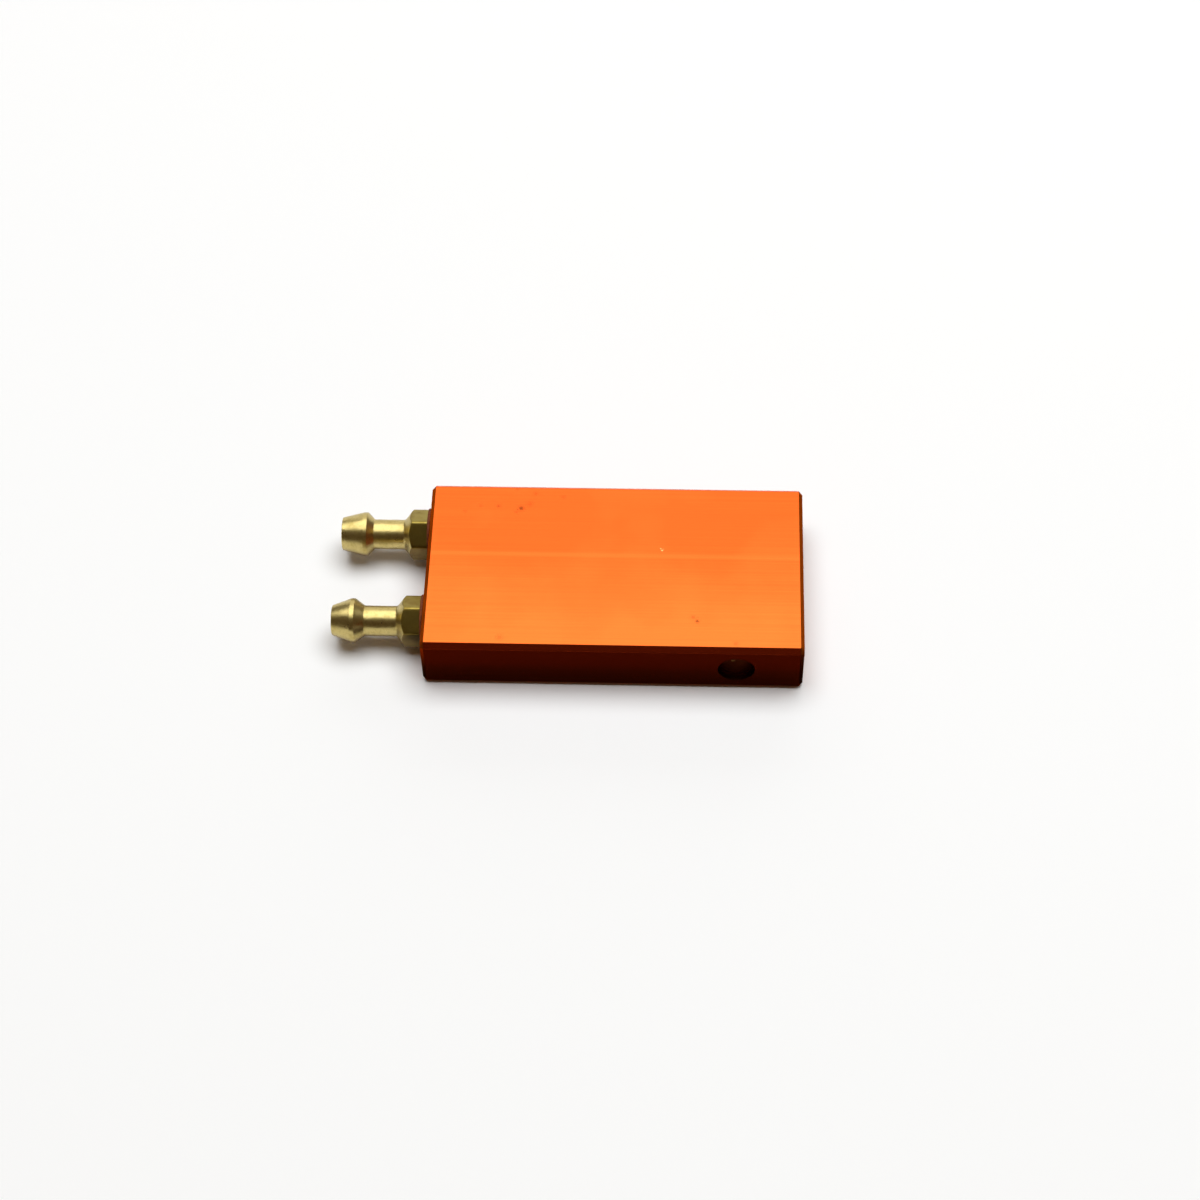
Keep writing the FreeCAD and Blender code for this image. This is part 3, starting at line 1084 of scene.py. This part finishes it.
class COLDPLATE_OT_nozzles(ColdPlateOperator, bpy.types.Operator):
    """Make the two brass hose nozzles"""

    bl_idname = "coldplate.nozzles"
    bl_label = "Hose nozzles"

    def execute(self, context):
        finish = context.scene.cold_plate_finish
        materials = [turned_brass(finish), drawn_brass(finish)]
        for index, side in enumerate(SIDES):
            mesh = self.nozzle_mesh(context.scene.cold_plate_nozzles, index, side)
            piece = make_object(f"{side}_hose_nozzle", mesh)
            finish_piece(piece, materials, f"{side}_nozzle")
        return {"FINISHED"}

    def hexagon(self, sizes, turn):
        """Angle and radius of the points round the hexagon bar, with its corners rounded."""
        apothem = sizes.across_flats / 2
        rounding = sizes.corner_rounding
        points = []
        flat_steps, arc_steps = 11, 4
        for corner in range(6):
            heading = turn + math.radians(60) * corner
            centre = Matrix.Rotation(heading, 2) @ Vector(
                ((apothem - rounding) / math.cos(math.radians(30)), 0)
            )
            for step in range(arc_steps + 1):
                angle = heading + math.radians(60) * (step / arc_steps - 0.5)
                arm = Vector((math.cos(angle), math.sin(angle))) * rounding
                points.append(centre + arm)
            reach = (apothem - rounding) * math.tan(math.radians(30))
            middle = Matrix.Rotation(heading + math.radians(30), 2) @ Vector((apothem, 0))
            along = Matrix.Rotation(heading + math.radians(120), 2) @ Vector((1, 0))
            for step in range(1, flat_steps):
                points.append(middle + along * reach * (2 * step / flat_steps - 1))
        return [(math.atan2(point.y, point.x), point.length) for point in points]

    def nozzle_mesh(self, sizes, index, side):
        """One nozzle: bore, threaded shank, hexagon, shoulder, neck and barb."""
        low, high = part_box(f"{side}_nozzle")
        washer_low, washer_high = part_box(f"{side}_nozzle_washer")
        centre = (washer_low + washer_high) / 2
        seat = Vector((washer_low.x, centre.y, centre.z))
        place = along_axis(seat, Vector((-1, 0, 0)), Vector((0, 0, 1)))
        outline = self.hexagon(sizes, sizes.hexagon_turn[index])
        angles = [angle for angle, radius in outline]
        shank_end = seat.x - high.x
        tip = seat.x - low.x
        bore = sizes.bore_diameter / 2
        neck = sizes.neck_diameter / 2
        barb = sizes.barb_diameter / 2
        nose = sizes.tip_diameter[index] / 2
        corner = sizes.across_flats / math.sqrt(3)
        edge = sizes.edge_break

        rings = turned_rings(((shank_end, bore + edge),), place, angles)
        rings += self.thread_rings(sizes, shank_end, place, angles)
        rings += turned_rings(((0, sizes.thread_diameter / 2),), place, angles)

        # the hexagon, from its seat to where the shoulder's cone cuts it
        hexagon_start = len(rings)
        rings.append([place(0, radius - edge, angle) for angle, radius in outline])
        rings.append([place(edge / 2, radius, angle) for angle, radius in outline])
        slope = Vector((sizes.shoulder_length, neck - corner)).normalized()
        rise = sizes.shoulder_length / (corner - neck)
        # the broken edge runs from the flat, past the sharp edge, to the cone
        for weight_back, weight_edge, weight_cone in ((1, 0, 0), (0.25, 0.5, 0.25), (0, 0, 1)):
            ring = []
            for angle, radius in outline:
                cut = sizes.hexagon_length + (corner - radius) * rise
                sharp = Vector((cut, radius))
                back = Vector((cut - edge, radius))
                point = back * weight_back + sharp * weight_edge
                point += (sharp + slope * edge) * weight_cone
                ring.append(place(point.x, point.y, angle))
            rings.append(ring)
        hexagon_end = len(rings) - 1

        shoulder_end = sizes.hexagon_length + sizes.shoulder_length
        # inside the flats the cone is round, and the turned outline starts there
        on_cone = 0.45 * corner + 0.55 * neck
        neck_end = shoulder_end + sizes.neck_length[index]
        crest_start = neck_end + sizes.back_length[index]
        crest_end = crest_start + sizes.crest_length
        profile = round_corners(
            (
                (shoulder_end - (on_cone - neck) * rise, on_cone, 0),
                (shoulder_end, neck, sizes.neck_fillet),
                (neck_end, neck, NECK_END_RADIUS),
                (crest_start, barb, CREST_START_RADIUS),
                (crest_end, barb, CREST_END_RADIUS),
                (tip, nose, TIP_RADIUS),
                (tip, bore + BORE_CHAMFER, BORE_RIM_RADIUS),
                (tip - BORE_CHAMFER, bore, BORE_START_RADIUS),
                (shank_end + edge, bore, 0),
            )
        )
        rings += turned_rings(profile, place, angles)
        name = f"{side}_hose_nozzle"
        bands = ((hexagon_start, hexagon_end),)
        return mesh_from_rings(name, rings, closed=True, bands=bands)

    def thread_rings(self, sizes, shank_end, place, angles):
        """The shank's screw thread, which runs out into a groove under the hexagon."""
        crest = sizes.thread_diameter / 2
        root = crest - sizes.thread_depth
        groove = -GROOVE_LENGTH
        steps_per_pitch = 8
        step = sizes.thread_pitch / steps_per_pitch
        rings = []
        along = shank_end
        while along < groove:
            lead = root + (along - shank_end)
            ring = []
            for angle in angles:
                turn = (along / sizes.thread_pitch - angle / (2 * math.pi)) % 1
                radius = crest - sizes.thread_depth * (1 - abs(2 * turn - 1))
                run_out = min(1, max(0, (groove - along) / sizes.thread_pitch))
                radius = root + (radius - root) * run_out
                ring.append(place(along, min(radius, lead), angle))
            rings.append(ring)
            along += step
        rings += turned_rings(((groove, root), (-GROOVE_CONE, root)), place, angles)
        return rings


class COLDPLATE_OT_washers(ColdPlateOperator, bpy.types.Operator):
    """Make the fibre washers under the nozzles"""

    bl_idname = "coldplate.washers"
    bl_label = "Washers"

    def execute(self, context):
        material = vulcanised_fibre(context.scene.cold_plate_finish)
        bore = context.scene.cold_plate_nozzles.thread_diameter / 2 + WASHER_CLEARANCE
        for side in SIDES:
            low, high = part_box(f"{side}_nozzle_washer")
            centre = (low + high) / 2
            radius, thickness = (high.y - low.y) / 2, high.x - low.x
            origin = Vector((low.x, centre.y, centre.z))
            place = along_axis(origin, Vector((1, 0, 0)), Vector((0, 0, 1)))
            corners = (
                (0, bore, WASHER_HOLE_RADIUS),
                (thickness, bore, WASHER_HOLE_RADIUS),
                (thickness, radius - WASHER_BULGE, WASHER_RIM_RADIUS),
                (thickness / 2, radius, WASHER_BULGE_RADIUS),
                (0, radius - WASHER_BULGE, WASHER_RIM_RADIUS),
            )
            profile = round_corners(corners, closed=True)
            rings = turned_rings(profile, place, full_turn())
            name = f"{side}_fibre_washer"
            piece = make_object(name, mesh_from_rings(name, rings, closed=True))
            finish_piece(piece, [material], f"{side}_nozzle_washer")
        return {"FINISHED"}


class COLDPLATE_OT_plug(ColdPlateOperator, bpy.types.Operator):
    """Make the domed plug of the cross channel"""

    bl_idname = "coldplate.plug"
    bl_label = "Plug"

    def execute(self, context):
        crown = context.scene.cold_plate_block.plug_crown_radius
        low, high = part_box("channel_plug")
        centre = (low + high) / 2
        radius, length = (high.x - low.x) / 2, high.y - low.y
        origin = Vector((centre.x, high.y, centre.z))
        place = along_axis(origin, Vector((0, -1, 0)), Vector((0, 0, 1)))
        profile = [(0, 0), (0, radius - PLUG_CHAMFER), (PLUG_CHAMFER, radius)]
        half_angle = math.asin(radius / crown)
        dome_steps = 8
        for step in range(dome_steps + 1):
            angle = half_angle * (1 - step / dome_steps)
            profile.append((length - crown * (1 - math.cos(angle)), crown * math.sin(angle)))
        rings = turned_rings(profile, place, full_turn(DRILLED_POINTS))
        piece = make_object("domed_plug", mesh_from_rings("domed_plug", rings))
        material = pressed_plug(context.scene.cold_plate_finish)
        finish_piece(piece, [material], "channel_plug")
        return {"FINISHED"}


class COLDPLATE_OT_stage(ColdPlateOperator, bpy.types.Operator):
    """Set the floor, the lamps and the camera"""

    bl_idname = "coldplate.stage"
    bl_label = "Stage"

    def execute(self, context):
        stage = context.scene.cold_plate_stage
        floor_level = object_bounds()[0].z
        self.add_floor(stage, floor_level)
        self.add_cards(stage, floor_level)
        self.add_lamps(stage)
        self.add_room(context.scene, stage.room_colour)
        self.add_camera(context.scene, stage)
        return {"FINISHED"}

    def add_floor(self, stage, level):
        """A round white floor."""
        place = along_axis(Vector((0, 0, level)), Vector((0, 0, 1)), Vector((1, 0, 0)))
        rings = turned_rings(((0, 0), (0, stage.floor_radius)), place, full_turn())
        self.add_surface("floor", mesh_from_rings("floor", rings), stage.floor_colour)

    def add_cards(self, stage, floor_level):
        """A dark card and a darker strip in front of the block, seen only in reflections.

        Each has a notch that the block stands in, and laps round its two front corners.
        """
        low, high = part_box("cooling_block")
        left, right = low.x - stage.card_reach[0], high.x + stage.card_reach[1]
        start, end = low.x - CARD_GAP, high.x + CARD_GAP
        front, back = low.y, low.y + CARD_LAP
        # painted shade: the card darkens what the block's front face reflects, and the strip is a
        # painted shadow along the block
        cards = (
            ("shade_card", stage.card_width, CARD_THICKNESS, stage.card_colour),
            ("shadow_strip", stage.strip_width, 2 * CARD_THICKNESS, stage.strip_colour),
        )
        for name, width, rise, colour in cards:
            near, level = front - width, floor_level + rise
            outline = [(left, near), (right, near), (right, back), (end, back)]
            outline += [(end, front), (start, front), (start, back), (left, back)]
            mesh = bpy.data.meshes.new(name)
            mesh.from_pydata([(x, y, level) for x, y in outline], [], [range(len(outline))])
            card = self.add_surface(name, mesh, colour)
            card.visible_camera = False
            card.visible_diffuse = False
            card.visible_shadow = False

    def add_lamps(self, stage):
        """The key lamp for matt surfaces, the soft box for metal, and the lit backdrop."""
        key = self.add_overhead(
            "key_light", stage, stage.key_spread, stage.key_tilt, stage.key_brightness
        )
        key.location.x = stage.lamp_distance * math.sin(stage.key_lean)
        key.rotation_euler.y = stage.key_lean
        key.visible_glossy = False
        soft_box = self.add_overhead(
            "soft_box", stage, stage.soft_box_spread, stage.soft_box_tilt, stage.soft_box_brightness
        )
        soft_box.visible_diffuse = False
        size = tuple(stage.backdrop_size)
        place = Vector((0, stage.backdrop_distance, size[1] / 2))
        brightness = stage.backdrop_brightness
        self.add_panel("lit_backdrop", "RECTANGLE", size, brightness, place, -math.pi / 2)

    def add_room(self, scene, colour):
        """The dim room that shows in reflections all round."""
        scene.world = bpy.data.worlds.new("dim_room")
        scene.world.use_nodes = True
        background = scene.world.node_tree.nodes["Background"]
        background.inputs["Color"].default_value = (*colour, 1)

    def add_camera(self, scene, stage):
        """The camera, which shows colours as they are."""
        data = bpy.data.cameras.new("camera")
        data.lens = stage.lens
        camera = bpy.data.objects.new("camera", data)
        camera.location = stage.camera_place
        camera.rotation_euler = stage.camera_turn
        scene.collection.objects.link(camera)
        scene.camera = camera
        scene.view_settings.view_transform = "Standard"

    def add_surface(self, name, mesh, colour):
        """A matt surface that isn't part of the object."""
        surface = bpy.data.objects.new(name, mesh)
        mesh.materials.append(flat_paint(f"matt_{name}", colour))
        bpy.context.scene.collection.objects.link(surface)
        surface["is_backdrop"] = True
        return surface

    def add_overhead(self, name, stage, spread, tilt, brightness):
        """A round soft lamp above the object that fills the given angles."""
        reach = stage.lamp_distance
        size = [2 * reach * math.tan(angle / 2) for angle in spread]
        place = Vector((0, reach * math.sin(tilt), reach * math.cos(tilt)))
        lamp = self.add_panel(name, "ELLIPSE", size, brightness, place, -tilt)
        lamp.data.color = stage.lamp_colour
        return lamp

    def add_panel(self, name, shape, size, brightness, place, turn):
        """A soft lamp with an even face, which lights and shows in reflections."""
        lamp = bpy.data.lights.new(name, "AREA")
        lamp.shape = shape
        lamp.size, lamp.size_y = size
        face = size[0] * size[1] * (math.pi / 4 if shape == "ELLIPSE" else 1)
        # an even face of this brightness gives out pi times its area times the brightness
        lamp.energy = math.pi * face * brightness
        panel = bpy.data.objects.new(name, lamp)
        panel.location = place
        panel.rotation_euler = (turn, 0, 0)
        panel.visible_camera = False
        bpy.context.scene.collection.objects.link(panel)
        return panel


class COLDPLATE_PT_panel(bpy.types.Panel):
    """Lists the operators in the order in which they run"""

    bl_label = "Cold Plate"
    bl_idname = "COLDPLATE_PT_panel"
    bl_space_type = "VIEW_3D"
    bl_region_type = "UI"
    bl_category = "Cold Plate"

    def draw(self, context):
        for operator in OPERATORS:
            self.layout.operator(operator.bl_idname)
        for name in SETTINGS:
            group = getattr(context.scene, name)
            box = self.layout.box()
            for key in group.bl_rna.properties.keys():
                if key not in ("rna_type", "name"):
                    box.prop(group, key)


OPERATORS = (
    COLDPLATE_OT_block,
    COLDPLATE_OT_plug,
    COLDPLATE_OT_washers,
    COLDPLATE_OT_nozzles,
    COLDPLATE_OT_stage,
)
SETTINGS = {
    "cold_plate_block": ColdPlateBlockSizes,
    "cold_plate_nozzles": ColdPlateNozzleSizes,
    "cold_plate_finish": ColdPlateFinish,
    "cold_plate_stage": ColdPlateStage,
}


def register():
    """Registers the classes and gives the scene its settings."""
    for group in (*SETTINGS.values(), *OPERATORS, COLDPLATE_PT_panel):
        bpy.utils.register_class(group)
    for name, group in SETTINGS.items():
        setattr(bpy.types.Scene, name, PointerProperty(type=group))


def unregister():
    """Undoes register."""
    for name in SETTINGS:
        delattr(bpy.types.Scene, name)
    for group in (COLDPLATE_PT_panel, *reversed(OPERATORS), *reversed(SETTINGS.values())):
        bpy.utils.unregister_class(group)


def main():
    """Makes every piece and the stage."""
    register()
    for operator in OPERATORS:
        group, name = operator.bl_idname.split(".")
        getattr(getattr(bpy.ops, group), name)()


if __name__ == "__main__":
    main()
